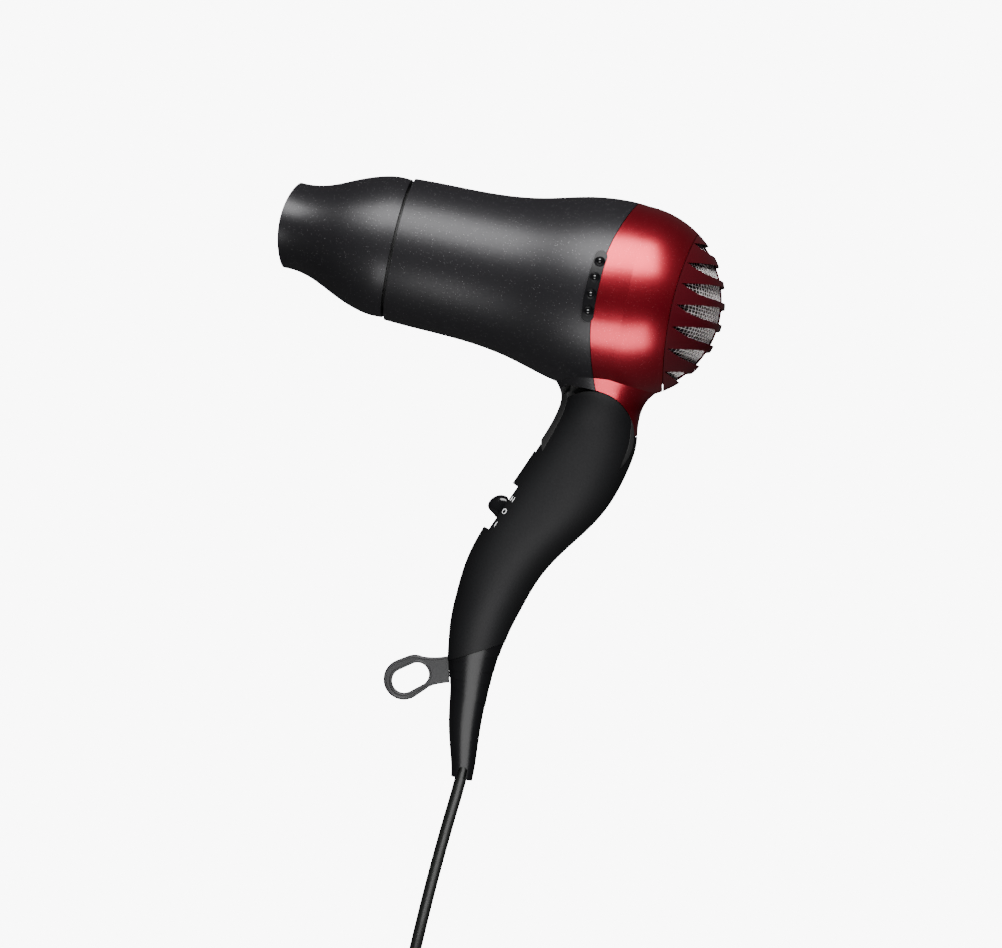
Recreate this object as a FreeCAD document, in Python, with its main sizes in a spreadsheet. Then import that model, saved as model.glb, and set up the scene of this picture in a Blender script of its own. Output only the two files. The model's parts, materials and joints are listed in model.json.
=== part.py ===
import FreeCAD, Part

# A folding hair dryer as a parametric FreeCAD document.
#
# Frame: millimetres, +Z up, the blower's axis along X with the mouth towards -X.
# The origin is in the middle of the hand's grip, on the symmetry plane.
# The handle is held, with its cord. The head folds on the hinge pin. The nozzle turns and
# pulls off the outlet, the grille pulls off the back, and the switch slides on its flat.

import math
import os

import Sketcher
from FreeCAD import Placement, Rotation, Vector

doc = FreeCAD.newDocument("hair_dryer")

# ---------------------------------------------------------------- driving sizes
SIZES = [
    # head
    ("axis_height", 120.0),
    ("ball_x", 20.0),
    ("ball_radius", 43.5),
    ("front_x", -85.4),
    ("front_radius", 32.6),
    ("wall", 2.2),
    ("seam_x", 6.0),
    ("seam_sagitta", 9.5),
    ("rim_x", 39.9),
    ("rim_sagitta", 4.3),
    # nozzle
    ("mouth_x", -138.6),
    ("mouth_sagitta", 3.2),
    ("mouth_half_height", 19.6),
    ("mouth_half_width", 25.0),
    ("nozzle_wall", 1.8),
    ("outlet_radius", 27.6),
    ("outlet_wall", 1.6),
    ("outlet_length", 15.0),
    ("outlet_reach", 11.0),
    ("spigot_radius", 27.55),
    ("collar_radius", 28.9),
    ("collar_wall", 1.3),
    ("collar_length", 9.0),
    # rear grille
    ("slot_count", 7),
    ("slot_pitch", 9.75),
    ("slot_tip_x", 41.6),
    ("spine_radius", 42.0),
    ("spine_half", 3.5),
    ("grille_wall", 2.6),
    ("mesh_radius", 40.85),
    ("mesh_wall", 0.6),
    ("frame_radius", 30.8),
    ("frame_wall", 1.6),
    ("frame_length", 4.9),
    # fold hinge
    ("pivot_x", 16.8),
    ("pivot_z", 56.6),
    ("cheek_radius", 19.8),
    ("knuckle_front", 22.0),
    ("knuckle_half", 10.0),
    ("hinge_gap", 0.3),
    ("shoulder_angle", 12.9),
    ("recess_radius", 24.6),
    ("web_radius", 25.4),
    ("web_half", 5.0),
    ("pin_radius", 3.0),
    ("pin_length", 31.0),
    ("pin_clearance", 0.05),
    # handle
    ("handle_wall", 2.4),
    ("guard_inset", 0.2),
    ("guard_step", 0.2),
    ("floor_x", -9.6),
    ("floor_z", 27.5),
    ("floor_length", 23.4),
    ("floor_lean", 21.5),
    ("plate_thick", 1.0),
    ("plate_half_width", 5.6),
    ("knob_length", 10.4),
    ("knob_width", 9.0),
    ("knob_height", 6.6),
    ("loop_thick", 4.0),
    # cord and plug
    ("cord_radius", 2.75),
    ("ground_z", -226.0),
    ("coil_x", 33.5),
    ("coil_y", 32.0),
    ("coil_turn_radius", 30.0),
    ("coil_half_band", 8.6),
    ("coil_height", 17.0),
    ("plug_pin_radius", 2.4),
    ("plug_pin_length", 19.0),
    ("plug_pin_gap", 19.0),
    # inner works
    ("motor_radius", 13.8),
    ("motor_length", 26.0),
    ("shaft_radius", 1.15),
    ("shaft_length", 49.0),
    ("fan_radius", 34.0),
    ("fan_hub_radius", 12.0),
    ("fan_depth", 14.0),
    ("fan_blades", 9),
    ("duct_radius", 35.6),
    ("duct_wall", 1.2),
    ("duct_length", 24.0),
    ("part_gap", 0.3),
    ("heater_radius", 27.0),
    ("heater_length", 62.0),
    ("mica_thick", 0.8),
    ("mica_tube_wall", 0.8),
    ("coil_wire", 0.9),
    ("coil_rings", 9),
    ("coil_pitch", 6.2),
    ("thermostat_radius", 4.6),
    ("thermostat_x", -52.0),
    # side strips and screws
    ("strip_tall", 32.0),
    ("strip_wide", 5.4),
    ("strip_x", 4.2),
    ("strip_z", 120.6),
    ("stud_radius", 1.2),
    ("stud_pitch", 7.6),
    ("stud_count", 4),
    ("dish_radius", 3.0),
    ("dish_lift", 2.6),
    ("screw_radius", 1.5),
    ("screw_head", 2.9),
    ("screw_length", 12.0),
]
sheet = doc.addObject("Spreadsheet::Sheet", "Sizes")
for row, (alias, value) in enumerate(SIZES, start=1):
    sheet.set(f"A{row}", alias)
    sheet.set(f"B{row}", str(value))
    sheet.setAlias(f"B{row}", alias)
doc.recompute()


def size(alias):
    """One driving size, read back from the sheet."""
    return float(sheet.get(alias))


X_AXIS, Y_AXIS, Z_AXIS = Vector(1, 0, 0), Vector(0, 1, 0), Vector(0, 0, 1)
PIVOT = Vector(size("pivot_x"), 0, size("pivot_z"))
AXIS_Z = size("axis_height")
PARTS = {}


# ---------------------------------------------------------------- small helpers
def keep(obj, label):
    """The object becomes the sub-part with this name."""
    obj.Label = label
    PARTS[label] = obj
    return obj


def feature(label, shape):
    """A sub-part whose shape no parametric feature fits."""
    obj = doc.addObject("Part::Feature", label)
    obj.Shape = shape
    return keep(obj, label)


def turned(axis):
    """The rotation that carries +Z onto this axis."""
    return Rotation(Z_AXIS, axis)


def cylinder(name, radius, height, base, axis):
    """A Part::Cylinder with its sizes bound to the sheet."""
    obj = doc.addObject("Part::Cylinder", name)
    obj.setExpression("Radius", f"Sizes.{radius}")
    obj.setExpression("Height", f"Sizes.{height}")
    obj.Placement = Placement(base, turned(axis))
    return obj


def ring_body(name, outer, thick, length, start):
    """A PartDesign ring about the blower's axis: outer radius, wall and length from the sheet."""
    body = doc.addObject("PartDesign::Body", name)
    sketch = body.newObject("Sketcher::SketchObject", name + "_sketch")
    plane = next(f for f in body.Origin.OriginFeatures if f.Role == "YZ_Plane")
    sketch.AttachmentSupport = [(plane, "")]
    sketch.MapMode = "FlatFace"
    centre = Vector(0, 0, 0)
    sketch.addGeometry(Part.Circle(centre, Z_AXIS, size(outer)), False)
    sketch.addGeometry(Part.Circle(centre, Z_AXIS, size(outer) - size(thick)), False)
    for circle in (0, 1):
        sketch.addConstraint(Sketcher.Constraint("Coincident", circle, 3, -1, 1))
    rim = sketch.addConstraint(Sketcher.Constraint("Radius", 0, size(outer)))
    bore = sketch.addConstraint(Sketcher.Constraint("Radius", 1, size(outer) - size(thick)))
    sketch.setExpression(f"Constraints[{rim}]", f"Sizes.{outer}")
    sketch.setExpression(f"Constraints[{bore}]", f"Sizes.{outer} - Sizes.{thick}")
    pad = body.newObject("PartDesign::Pad", name + "_pad")
    pad.Profile = sketch
    pad.setExpression("Length", f"Sizes.{length}")
    body.Placement = Placement(Vector(start, 0, AXIS_Z), Rotation())
    return keep(body, name)


def solid_cylinder(radius, length, base, axis=X_AXIS):
    return Part.makeCylinder(radius, length, base, axis)


def slab(x0, x1, y0, y1, z0, z1):
    return Part.makeBox(x1 - x0, y1 - y0, z1 - z0, Vector(x0, y0, z0))


def prism(points, y0, y1):
    """A polygon in the XZ plane, extruded along Y."""
    corners = [Vector(x, y0, z) for x, z in points]
    return Part.Face(Part.makePolygon(corners + corners[:1])).extrude(Vector(0, y1 - y0, 0))


def round_pivot(radius, half_width):
    """A cylinder on the hinge axis."""
    base = PIVOT - Y_AXIS * half_width
    return solid_cylinder(radius, 2 * half_width, base, Y_AXIS)


def below_line(x0, z0, angle_deg, reach=400.0):
    """Everything under a line through (x0, z0) that rises towards +X at this angle."""
    box = Part.makeBox(2 * reach, 2 * reach, reach, Vector(-reach, -reach, -reach))
    box.rotate(Vector(0, 0, 0), Y_AXIS, -angle_deg)
    box.translate(Vector(x0, 0, z0))
    return box


def arc_cylinder(middle_x, sagitta, half_chord, side):
    """A cylinder along Y whose near edge bulges to middle_x at the axis; side is +1 or -1."""
    radius = (half_chord**2 + sagitta**2) / (2 * sagitta)
    base = Vector(middle_x + side * radius, -200, AXIS_Z)
    return solid_cylinder(radius, 400, base, Y_AXIS)


def revolved(profile):
    """A solid of revolution about the blower's axis from (x, radius) edges that end on it."""
    return Part.Face(Part.Wire(profile)).revolve(Vector(0, 0, AXIS_Z), X_AXIS, 360)


def at_axis(x, radius):
    """The point above the blower's axis at this radius."""
    return Vector(x, 0, AXIS_Z + radius)


def line(a, b):
    return Part.LineSegment(a, b).toShape()


def biggest(shape):
    """The largest solid of a boolean's result, without its crumbs."""
    return max(shape.Solids, key=lambda s: s.Volume)


# ---------------------------------------------------------------- the head's two shells
BARREL = [(-74, 33.1), (-50, 33.8), (-26, 37.0), (-8, 41.6), (4, 43.5)]


def head_solid(inset):
    """The blower as one solid: a waisted barrel that runs into a ball."""
    ball, centre = size("ball_radius") - inset, size("ball_x")
    start, lip = size("front_x"), size("front_radius")
    points = [at_axis(start, lip - inset)]
    points += [at_axis(x, r - inset) for x, r in BARREL]
    points += [at_axis(centre, ball)]
    spline = Part.BSplineCurve()
    spline.interpolate(points)
    quarter = Part.Arc(
        at_axis(centre, ball),
        at_axis(centre + ball * math.sin(math.pi / 4), ball * math.cos(math.pi / 4)),
        at_axis(centre + ball, 0),
    )
    return revolved(
        [
            line(at_axis(start, 0), points[0]),
            spline.toShape(),
            quarter.toShape(),
            line(at_axis(centre + ball, 0), at_axis(start, 0)),
        ]
    )


# The handle's column: height, front edge, rear edge and half width of each level section.
COLUMN = [
    (98, -14.0, 47.0, 28.0),
    (90, -12.0, 45.5, 26.0),
    (84, -9.0, 42.6, 23.0),
    (78, -4.0, 38.4, 20.4),
    (72, 0.0, 36.8, 19.2),
    (66, 0.1, 36.9, 18.8),
    (60, -1.2, 37.8, 18.6),
    (54, -3.1, 38.0, 18.4),
    (42, -7.3, 36.1, 18.1),
    (30, -12.0, 32.6, 17.7),
    (18, -16.6, 26.6, 17.2),
    (6, -21.0, 18.4, 16.7),
    (-6, -24.4, 11.0, 16.1),
    (-18, -25.9, 6.2, 15.5),
    (-30, -26.3, 2.8, 14.2),
    (-42, -25.6, 0.2, 12.4),
    (-54, -23.6, -1.2, 10.4),
    (-66, -20.6, -1.3, 8.7),
    (-78, -18.5, -1.1, 7.5),
    (-90, -15.6, -0.3, 6.7),
    (-106, -11.1, 0.6, 5.6),
]


def column(inset, top, bottom):
    """The handle's column between two heights, drawn in by inset all round."""
    wires = []
    for z, front, rear, half in COLUMN:
        if bottom <= z <= top:
            major, minor = (rear - front) / 2 - inset, half - inset
            ellipse = Part.Ellipse(Vector((front + rear) / 2, 0, z), major, min(minor, major * 0.999))
            wires.append(Part.Wire([ellipse.toShape()]))
    return Part.makeLoft(wires, True, False)


wall = size("wall")
knuckle_half = size("knuckle_half")
gap = size("hinge_gap")
ball = size("ball_radius")

blower_outer = head_solid(0)
neck_outer = column(0, 98, 54)
full_outer = blower_outer.fuse(neck_outer)
arch = round_pivot(size("cheek_radius") + gap, 60)
arch_wall = round_pivot(size("cheek_radius") + gap + wall, 60)
under_tail = below_line(PIVOT.x, PIVOT.z + 0.31, size("shoulder_angle"))
# In front of the pivot the shell is cut back, level with the top of the arch.
recess_room = slab(-60, PIVOT.x, -60, 60, 40, PIVOT.z + size("cheek_radius") + gap + 0.2)
recess = round_pivot(size("recess_radius"), 60).common(recess_room)
recess_wall = round_pivot(size("recess_radius") + wall, 60).common(slab(-60, PIVOT.x, -60, 60, 40, 100))
hollow = head_solid(wall).fuse(column(wall, 98, 72)).cut(arch_wall.fuse(recess_wall))
shells = full_outer.cut(hollow.fuse([arch, under_tail, recess]))
open_front = solid_cylinder(size("front_radius") - wall, 8, Vector(size("front_x") - 4, 0, AXIS_Z))
shells = shells.cut(open_front)

seam = arc_cylinder(size("seam_x"), size("seam_sagitta"), ball, 1)
rim_half = math.sqrt(ball**2 - (size("rim_x") + size("rim_sagitta") - size("ball_x")) ** 2)
rim = arc_cylinder(size("rim_x"), size("rim_sagitta"), rim_half, 1)
# The riser is the block that carries the knuckle up into the head.
slip = 0.05
riser_half, riser_top = 9.0, 81.0
riser = slab(PIVOT.x - riser_half, PIVOT.x + riser_half, -knuckle_half, knuckle_half, PIVOT.z, riser_top)
room_half, room_side = riser_half + slip, knuckle_half + slip
riser_room = slab(PIVOT.x - room_half, PIVOT.x + room_half, -room_side, room_side, PIVOT.z, riser_top + slip)


seam_ahead = arc_cylinder(size("seam_x") - size("part_gap"), size("seam_sagitta"), ball, 1)
web_room = round_pivot(size("web_radius") + slip, room_side)
web_room = web_room.common(slab(-20, PIVOT.x, -60, 60, PIVOT.z, 120))
front = biggest(shells.cut(seam_ahead.fuse([riser_room, web_room])))
rear_all = shells.common(seam).cut(riser_room.fuse(web_room))
rim_ahead = arc_cylinder(size("rim_x") - size("part_gap"), size("rim_sagitta"), rim_half, 1)
rear = biggest(rear_all.cut(rim_ahead))


def ball_ring(outer, inner, first, last):
    """A band of the ball between two radii and two curved fronts, given from the grille's rim."""
    centre = Vector(size("ball_x"), 0, AXIS_Z)
    band = Part.makeSphere(outer, centre).cut(Part.makeSphere(inner, centre))
    band = band.common(arc_cylinder(size("rim_x") + first, size("rim_sagitta"), rim_half, 1))
    return band.cut(arc_cylinder(size("rim_x") + last, size("rim_sagitta"), rim_half, 1))


lip_root = ball_ring(ball - wall + 0.05, ball - wall - 1.9, -4.0, -0.5)
lip_edge = ball_ring(ball - size("grille_wall") - 0.35, ball - wall - 1.9, -0.6, 0.8)
rear = biggest(rear.fuse([lip_root, lip_edge]))

# The side strip sits in a pocket over the seam on each side.
strip_tall, strip_wide = size("strip_tall"), size("strip_wide")
strip_x, strip_z = size("strip_x"), size("strip_z")
strip_bow = 8.0


def strip_centre(climb):
    """Where the strip's middle line is, this far above its centre."""
    z = strip_z + climb
    return strip_x + strip_bow * ((z - AXIS_Z) / ball) ** 2, z


def strip_prism(grow):
    """A curved bar that follows the seam, seen from the side."""
    along = arc_cylinder(strip_x - strip_wide / 2 - grow, strip_bow, ball, 1)
    ahead = arc_cylinder(strip_x + strip_wide / 2 + grow, strip_bow, ball, 1)
    middle_z = strip_tall / 2 - strip_wide / 2
    bar = along.cut(ahead).common(slab(-20, 30, -60, 60, strip_z - middle_z, strip_z + middle_z))
    for way in (-1, 1):
        x, z = strip_centre(way * middle_z)
        bar = bar.fuse(solid_cylinder(strip_wide / 2 + grow, 120, Vector(x, -60, z), Y_AXIS))
    return bar


strip_bar = strip_prism(0)
strip_skin = head_solid(-0.7).cut(head_solid(1.0))
strip_pocket = strip_prism(0.1).common(head_solid(-2).cut(head_solid(1.05)))
front = biggest(front.cut(strip_pocket))
rear = biggest(rear.cut(strip_pocket))
feature("front_shell", front)
feature("rear_shell", rear)
strips = strip_bar.common(strip_skin)
left = slab(-200, 200, -200, 0, -300, 300)
right = slab(-200, 200, 0, 200, -300, 300)


stud_numbers = range(int(size("stud_count")))
middle_number = (size("stud_count") - 1) / 2
stud_places = []
for number in stud_numbers:
    x, z = strip_centre((number - middle_number) * size("stud_pitch"))
    stud_places.append(Vector(x, math.sqrt(ball**2 - (z - AXIS_Z) ** 2), z))


def strip_dish(side, place):
    """The round dish in the strip that one stud sits in."""
    middle = Vector(place.x, side * (place.y + size("dish_lift")), place.z)
    return Part.makeSphere(size("dish_radius"), middle)


def strip_stud(side, place):
    """One domed stud, rooted in the strip."""
    base = Vector(place.x, side * (place.y - 0.45), place.z)
    stud = solid_cylinder(size("stud_radius"), 1.9, base, Y_AXIS * side)
    top = Part.makeSphere(size("stud_radius") * 1.2, Vector(place.x, side * (place.y - 0.6), place.z))
    return stud.common(top)


studs = [strip_stud(side, place) for side in (-1, 1) for place in stud_places]
for side, label, half_space in ((-1, "strip_left", left), (1, "strip_right", right)):
    strip = strips.common(half_space)
    strip = strip.cut(Part.makeCompound([strip_dish(side, place) for place in stud_places]))
    strip = strip.cut(Part.makeCompound([strip_stud(side, place) for place in stud_places]))
    feature(label, biggest(strip))
feature("strip_studs", Part.makeCompound([biggest(s) for s in studs]))

# ---------------------------------------------------------------- hinge knuckle and pin
front_half = slab(-60, PIVOT.x, -knuckle_half, knuckle_half, PIVOT.z - 12.6, 100)
knuckle = round_pivot(size("knuckle_front"), knuckle_half).common(front_half)
full_disc = round_pivot(size("cheek_radius") + gap, knuckle_half).cut(under_tail)
knuckle = knuckle.fuse([full_disc, round_pivot(size("cheek_radius") + slip, knuckle_half)])
knuckle = knuckle.common(column(0, 98, 18)).fuse(riser)


def web(half_width, reach_deg):
    """A wall round the pivot that closes the recess, from straight up to this far forward."""
    ring = round_pivot(size("web_radius"), half_width)
    ring = ring.cut(round_pivot(size("knuckle_front") - 4, 60))
    reach = size("recess_radius") * math.sin(math.radians(reach_deg))
    return ring.common(slab(PIVOT.x - reach, PIVOT.x, -60, 60, PIVOT.z, 120))


narrow_web = web(size("web_half"), 52).common(column(0, 98, 18))
knuckle = knuckle.fuse([web(knuckle_half, 32), narrow_web])
inside_half = knuckle_half - size("handle_wall")
knuckle_hollow = round_pivot(size("cheek_radius") - 3, inside_half)
riser_hollow = slab(PIVOT.x - 6.5, PIVOT.x + 6.5, -inside_half, inside_half, PIVOT.z, 90)
knuckle_hollow = knuckle_hollow.fuse(riser_hollow)
boss = round_pivot(size("pin_radius") + 2.5, knuckle_half)
bore = round_pivot(size("pin_radius") + size("pin_clearance"), 60)
knuckle = knuckle.cut(knuckle_hollow).fuse(boss).cut(bore)
feature("hinge_knuckle", biggest(knuckle))
pin_base = PIVOT - Y_AXIS * (size("pin_length") / 2)
keep(cylinder("hinge_pin", "pin_radius", "pin_length", pin_base, Y_AXIS), "hinge_pin")

# ---------------------------------------------------------------- the handle's two halves
handle_all = column(0, 98, -66)
cheeks = handle_all.common(round_pivot(size("cheek_radius"), 60))
below_shoulder = handle_all.common(below_line(PIVOT.x, PIVOT.z, size("shoulder_angle")))
body = below_shoulder.fuse(cheeks)
SEAM_POINT, SEAM_ANGLE = (-22.4, -55.3), 30.2
body = body.cut(below_line(*SEAM_POINT, SEAM_ANGLE))
hollow_handle = column(size("handle_wall"), 30, -66)
cheek_half = knuckle_half + gap
ahead = slab(-60, PIVOT.x + 0.5, -60, 60, 0, 100)
cavity = round_pivot(size("knuckle_front") + 0.1, cheek_half).common(ahead)
cavity = cavity.fuse(round_pivot(size("cheek_radius") + 0.1, cheek_half))
# A slot in the front lets the narrow web go by when the head folds.
web_slot = round_pivot(size("web_radius") + gap, size("web_half") + gap)
web_slot = web_slot.common(slab(-60, PIVOT.x, -60, 60, 43.0, 100))
wire_way = column(size("handle_wall"), 60, 18).common(slab(-60, 60, -cheek_half, cheek_half, 18, PIVOT.z))
body = body.cut(hollow_handle.fuse([cavity, web_slot, wire_way]))
body = body.cut(round_pivot(size("pin_radius") + 0.02, size("pin_length") / 2 + 0.02))

# The switch's flat: a frame on the handle's front, leaning with it.
lean = size("floor_lean")
FLAT = Placement(Vector(size("floor_x"), 0, size("floor_z")), Rotation(Y_AXIS, lean))
# In FLAT's own frame -X points out of the handle and -Z runs down the flat.


def on_flat(shape):
    moved = shape.copy()
    moved.Placement = FLAT.multiply(moved.Placement)
    return moved


length = size("floor_length")
body = body.cut(on_flat(slab(-12, 0, -30, 30, -length, 0)))
half_plate = size("plate_half_width")
body = body.cut(on_flat(slab(-1, 6, -half_plate, half_plate, -length + 1.2, -1.2)))
case_half, case_tall, case_back = 6.2, 19.0, 12.5
middle = -length / 2
case_room = slab(1.05, case_back + 0.5, -case_half - 0.1, case_half + 0.1, middle - 9.6, middle + 9.6)
body = body.cut(on_flat(case_room))

screw_places = [Vector(17.0, 0, 27.0), Vector(-13.5, 0, -28.0)]


def screw_hole(place, radius, depth, out):
    """A hole along Y on the right half, for one of the handle's screws."""
    return solid_cylinder(radius, depth, place + Y_AXIS * (out - depth), Y_AXIS)


for place in screw_places:
    post = solid_cylinder(3.6, 60, place - Y_AXIS * 30, Y_AXIS).common(column(1.0, 60, -66))
    body = body.fuse(post)
for place in screw_places:
    body = body.cut(screw_hole(place, size("screw_radius") + 0.05, 18, 8.05))
    body = body.cut(screw_hole(place, size("screw_head") + 0.3, 20, 26))
feature("handle_left", biggest(body.common(left)))
feature("handle_right", biggest(body.common(right)))


def screw(base, axis, length_mm):
    """A pan-head screw with a cross slot; base is under the head, axis the way it is driven."""
    shank = solid_cylinder(size("screw_radius"), length_mm, base, axis)
    head = solid_cylinder(size("screw_head"), 1.9, base - axis * 1.9, axis)
    cross = slab(-2, 2, -0.35, 0.35, -0.9, 0).fuse(slab(-0.35, 0.35, -2, 2, -0.9, 0))
    cross.Placement = Placement(base - axis * 1.0, turned(axis))
    return shank.fuse(head).cut(cross)


screws = [screw(p + Y_AXIS * 6.0, -Y_AXIS, size("screw_length") + 3) for p in screw_places]
feature("handle_screws", Part.makeCompound([biggest(s) for s in screws]))

# ---------------------------------------------------------------- switch
slot_half, slot_long = 1.6, 17.6
plate = slab(0.02, size("plate_thick"), -half_plate + 0.05, half_plate - 0.05, -length + 1.25, -1.25)
plate = plate.cut(slab(-1, 3, -slot_half, slot_half, middle - slot_long / 2, middle + slot_long / 2))
feature("switch_plate", on_flat(plate))
knob_len, knob_out = size("knob_length"), size("knob_height")
knob_half = size("knob_width") / 2


def knob_shape():
    """A rounded thumb piece, its tip nearer the top, on a stem that goes through the slot."""
    spline = Part.BSplineCurve()
    low, high = middle - knob_len / 2, middle + knob_len / 2
    outline = [
        Vector(-0.3, 0, high),
        Vector(-knob_out * 0.5, 0, high - 0.4),
        Vector(-knob_out * 0.93, 0, middle + 1.2),
        Vector(-knob_out * 0.97, 0, middle - 1.6),
        Vector(-knob_out * 0.62, 0, low + 0.9),
        Vector(-0.3, 0, low),
    ]
    spline.interpolate(outline)
    face = Part.Face(Part.Wire([spline.toShape(), line(outline[-1], outline[0])]))
    thumb = face.extrude(Vector(0, 2 * knob_half, 0))
    thumb.translate(Vector(0, -knob_half, 0))
    round_ends = Part.makeCylinder(knob_half + 1.6, 20, Vector(-10, 0, middle), X_AXIS)
    thumb = thumb.common(round_ends)
    stem = slab(-0.6, 5.2, -slot_half + 0.15, slot_half - 0.15, middle - 2.4, middle + 2.4)
    return thumb.fuse(stem)


feature("switch_knob", biggest(on_flat(knob_shape())))
case = slab(1.1, case_back, -case_half, case_half, middle - case_tall / 2, middle + case_tall / 2)
case = case.cut(slab(0, 5.6, -slot_half - gap, slot_half + gap, middle - 8.7, middle + 8.7))
feature("switch_case", on_flat(case))
tab_back = case_back + 5.0
tabs = [slab(case_back, tab_back, -3.2, 3.2, middle + s - 0.4, middle + s + 0.4) for s in (-6, 0, 6)]
feature("switch_terminals", Part.makeCompound([on_flat(t) for t in tabs]))

# ---------------------------------------------------------------- cord guard with its wraps
inset = size("guard_inset")
WRAPS = [(-22.5, -56.2, 19.5), (-21.7, -59.8, 10.5), (-20.5, -62.7, 1.3), (-18.8, -66.0, -19.3)]
lines = [(*SEAM_POINT, SEAM_ANGLE)] + WRAPS
guard = None
for k, cut_line in enumerate(lines):
    band = column(inset + k * size("guard_step"), -30, -106)
    band = band.common(below_line(cut_line[0], cut_line[1] - (0.15 if k == 0 else 0), cut_line[2]))
    if k + 1 < len(lines):
        band = band.cut(below_line(*lines[k + 1]))
    guard = band if guard is None else guard.fuse(band)
throat = column(inset + 3.2, -30, -90)
exit_x = -5.4
throat = throat.fuse(solid_cylinder(size("cord_radius") + slip, 30, Vector(exit_x, 0, -110), Z_AXIS))
# A round-ended notch in the mouth of the guard, from side to side.
notch_x, notch_z, notch_r = exit_x + 0.1, -102.4, 2.0
notch = slab(notch_x - notch_r, notch_x + notch_r, -10, 10, -107, notch_z)
notch = notch.fuse(solid_cylinder(notch_r, 20, Vector(notch_x, -10, notch_z), Y_AXIS))
guard = guard.cut(throat.fuse(notch))
feature("cord_guard", biggest(guard))


# ---------------------------------------------------------------- hanging loop
def capsule(x0, z0, r0, x1, z1, r1):
    """The outline around two circles, as a plate of the loop's thickness."""
    thick = size("loop_thick")
    first = solid_cylinder(r0, thick, Vector(x0, -thick / 2, z0), Y_AXIS)
    second = solid_cylinder(r1, thick, Vector(x1, -thick / 2, z1), Y_AXIS)
    along = math.atan2(z1 - z0, x1 - x0)
    span = math.hypot(x1 - x0, z1 - z0)
    tilt = math.asin((r0 - r1) / span)
    corners = []
    for x, z, r, side in ((x0, z0, r0, 1), (x1, z1, r1, 1), (x1, z1, r1, -1), (x0, z0, r0, -1)):
        a = along + side * (math.pi / 2 - tilt)
        corners.append((x + r * math.cos(a), z + r * math.sin(a)))
    return first.fuse([second, prism(corners, -thick / 2, thick / 2)])


def loop_tab():
    """The tab that joins the loop to the guard, waisted in the middle."""
    top_points = [Vector(-38, 0, -56.6), Vector(-33.5, 0, -56.5), Vector(-29.3, 0, -55.8)]
    top_points.append(Vector(-20.5, 0, -52.4))
    low_points = [Vector(-17.5, 0, -65.0), Vector(-22, 0, -65.7), Vector(-28.0, 0, -68.6)]
    low_points.append(Vector(-34.2, 0, -74.4))
    top = Part.BSplineCurve()
    top.interpolate(top_points)
    low = Part.BSplineCurve()
    low.interpolate(low_points)
    thick = size("loop_thick")
    edges = [top.toShape(), line(top_points[-1], low_points[0]), low.toShape()]
    edges.append(line(low_points[-1], top_points[0]))
    tab = Part.Face(Part.Wire(edges)).extrude(Vector(0, thick, 0))
    tab.translate(Vector(0, -thick / 2, 0))
    return tab


loop = capsule(-40.4, -68.4, 9.2, -36.4, -65.0, 8.6).fuse(loop_tab())
loop = loop.cut(capsule(-40.4, -69.2, 5.4, -35.0, -64.8, 5.2)).removeSplitter()
loop = loop.cut(column(inset, -30, -106)).cut(body)
feature("hang_loop", biggest(loop))

# ---------------------------------------------------------------- cord, coil and plug
ground = size("ground_z")
cord_r = size("cord_radius")
coil_c = Vector(size("coil_x"), size("coil_y"), 0)
turn_r = size("coil_turn_radius")


def smooth_path(points):
    """Straight runs joined by the largest tangent arcs that they allow; prints the radii."""
    edges, at, radii = [], points[0], []
    for before, corner, after in zip(points, points[1:], points[2:]):
        back, ahead = before - corner, after - corner
        half = (math.pi - back.getAngle(ahead)) / 2
        radius = 0.45 * min(back.Length, ahead.Length) / math.tan(half)
        radii.append(round(radius, 1))
        cut = radius * math.tan(half)
        start = corner + back.normalize() * cut
        end = corner + ahead.normalize() * cut
        bisector = (back + ahead).normalize()
        middle_point = corner + bisector * (radius / math.cos(half) - radius)
        edges += [line(at, start), Part.Arc(start, middle_point, end).toShape()]
        at = end
    edges.append(line(at, points[-1]))
    print("cord radii", radii)
    return Part.Wire(edges)


def tube(points, radius):
    path = smooth_path(points)
    circle = Part.Circle(points[0], points[1] - points[0], radius).toShape()
    swept = path.makePipeShell([Part.Wire([circle])], True, False)
    swept = swept if swept.Volume > 0 else swept.reversed()
    share = swept.Volume / (math.pi * radius**2 * path.Length)
    print("tube", round(path.Length, 1), "mm long, volume share", round(share, 4))
    return swept


low_z = ground + cord_r
lead_points = [
    Vector(exit_x, 0, -95.9),
    Vector(exit_x - 0.2, 0, -110),
    Vector(-6.6, 0.2, -124),
    Vector(-7.7, 0.4, -146),
    Vector(-8.3, -1.2, -172),
    Vector(-8.4, -1.0, -198),
    Vector(-8.2, 4.6, -214),
    Vector(-8.0, 16.5, low_z + 0.4),
    Vector(-8.0, 33.0, low_z),
]
feature("cord_lead", tube(lead_points, cord_r))
band = size("coil_half_band")
coil_base = coil_c + Vector(0, 0, ground)
coil = solid_cylinder(turn_r + band, size("coil_height"), coil_base, Z_AXIS)
coil = coil.cut(solid_cylinder(turn_r - band, size("coil_height") + 2, coil_base - Z_AXIS, Z_AXIS))
feature("cord_coil", coil)

top_z = ground + size("coil_height") + cord_r + 0.1
plug_axis_z = ground + size("coil_height") + 8.6
tail_r = 24.0
plug_x = coil_c.x - tail_r
plug_y = coil_c.y - 2.0


def around(degrees, radius, z):
    a = math.radians(degrees)
    return Vector(coil_c.x + radius * math.cos(a), coil_c.y + radius * math.sin(a), z)


tail_points = [
    around(34, tail_r, top_z),
    around(2, tail_r + 1.0, top_z + 0.1),
    around(-34, tail_r + 1.6, top_z),
    around(-72, tail_r + 1.6, top_z),
    around(-110, tail_r + 1.6, top_z + 0.8),
    around(-146, tail_r + 1.4, top_z + 3.2),
    Vector(plug_x, coil_c.y - 10.5, plug_axis_z - 0.4),
    Vector(plug_x, plug_y, plug_axis_z),
]
feature("cord_tail", tube(tail_points, cord_r))

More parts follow.
